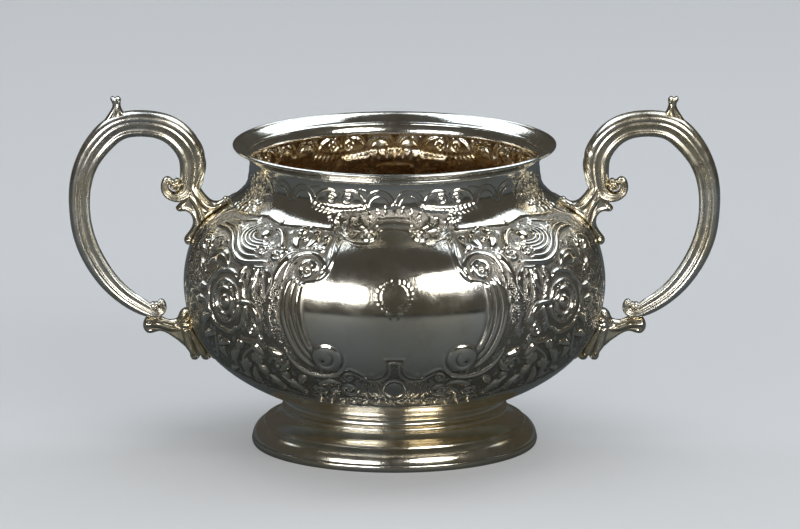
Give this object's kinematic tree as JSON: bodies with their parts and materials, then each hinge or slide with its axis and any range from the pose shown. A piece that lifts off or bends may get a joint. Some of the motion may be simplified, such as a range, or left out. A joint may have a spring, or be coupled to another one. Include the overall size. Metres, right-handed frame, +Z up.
{
  "type": "two-handled sugar bowl",
  "caption": "Open sugar bowl with a bulbous chased body, flared lip, moulded round foot and a pair of scroll handles on leaf brackets.",
  "frame": {"origin": "centre of the foot's underside, on the surface the bowl stands on", "axes": "+Z up along the bowl's axis, +X through the right-hand handle, -Y towards the side with the wreath panel"},
  "size_m": [0.2082, 0.135, 0.1128],
  "materials": {
    "chased_silver": "polished sterling silver with darkened chased recesses and a gilt inside",
    "wire_silver": "polished sterling silver wire",
    "foot_silver": "polished sterling silver with a warm tarnish in the mouldings",
    "handle_silver": "polished cast sterling silver, worn bright on the ridges",
    "mount_silver": "cast sterling silver with a warm tarnish in the hollows"
  },
  "bodies": {
    "root": {"bowl_body": "chased_silver", "lip_wire": "wire_silver", "neck_wire": "wire_silver", "foot_collar": "foot_silver", "foot_dome": "foot_silver", "foot_base_wire": "foot_silver", "right_scroll_bar": "handle_silver", "right_thumb_spur": "mount_silver", "right_upper_curl_boss": "mount_silver", "right_lower_curl_boss": "mount_silver", "right_upper_bracket": "mount_silver", "right_lower_bracket": "mount_silver", "left_scroll_bar": "handle_silver", "left_thumb_spur": "mount_silver", "left_upper_curl_boss": "mount_silver", "left_lower_curl_boss": "mount_silver", "left_upper_bracket": "mount_silver", "left_lower_bracket": "mount_silver"}
  },
  "joints": []
}
